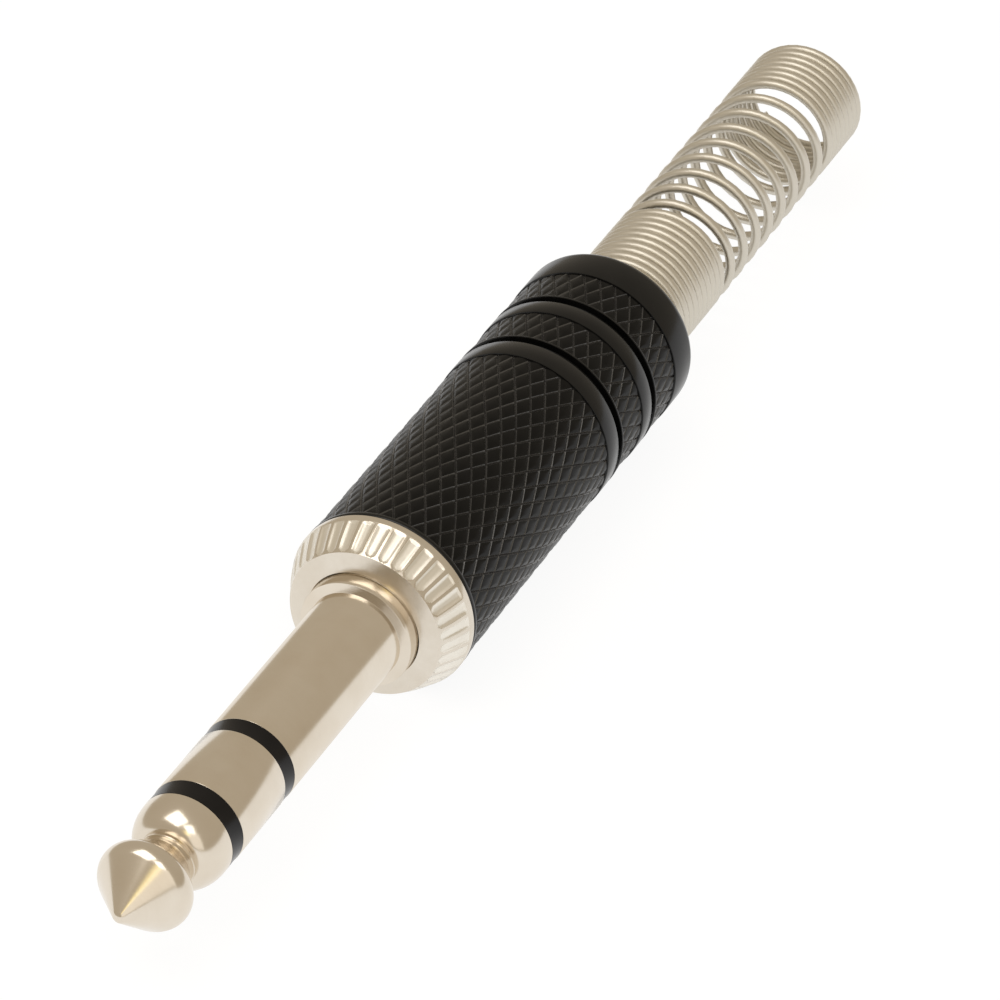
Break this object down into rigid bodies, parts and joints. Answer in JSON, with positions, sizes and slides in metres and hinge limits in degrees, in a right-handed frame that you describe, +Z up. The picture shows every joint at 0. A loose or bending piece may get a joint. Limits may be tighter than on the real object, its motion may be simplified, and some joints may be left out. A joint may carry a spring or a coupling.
{
  "type": "stereo jack plug",
  "caption": "Three-contact 6.35 mm jack plug with a fluted collar, a knurled screw-on barrel and a coil spring strain relief.",
  "frame": {"origin": "on the plug's axis, at the shoulder that stops the shaft in its jack", "axes": "X along the plug, tip towards -X and cable towards +X; +Z up, away from the ground clamp's strip"},
  "size_m": [0.1037, 0.0128, 0.0128],
  "materials": {
    "contact_plating": "bright nickel plate",
    "collar_plating": "satin nickel plate",
    "rod_metal": "plain brass",
    "lug_plating": "tinned brass sheet",
    "insulator": "black moulded plastic",
    "tube_plastic": "natural plastic tube",
    "washer_board": "brown pressed board",
    "liner_plastic": "milky plastic tube",
    "barrel_finish": "black satin coating on knurled brass",
    "spring_wire": "nickel plated spring wire"
  },
  "bodies": {
    "plug": {"tip_head": "contact_plating", "centre_rod": "rod_metal", "front_insulator": "insulator", "rod_tube": "tube_plastic", "ring_contact": "contact_plating", "rear_insulator": "insulator", "ring_tube": "tube_plastic", "sleeve": "contact_plating", "collar": "collar_plating", "ground_clamp": "lug_plating", "ground_washer": "washer_board", "ring_lug": "lug_plating", "lug_washer": "washer_board", "tip_lug": "lug_plating"},
    "spring": {"spring": "spring_wire"},
    "barrel": {"barrel": "barrel_finish", "liner_tube": "liner_plastic"}
  },
  "joints": [
    {"name": "barrel_travel", "type": "slide", "parent": "plug", "child": "spring", "axis": [1, 0, 0], "range_m": [0, 0.00525]},
    {"name": "barrel_turn", "type": "hinge", "parent": "spring", "child": "barrel", "pos_m": [0.01, 0, 0], "axis": [1, 0, 0], "range_deg": [0, 2520]}
  ],
  "couplings": [
    {"joint": "barrel_travel", "follows": "barrel_turn", "m_per_rad": 0.00011937}
  ]
}
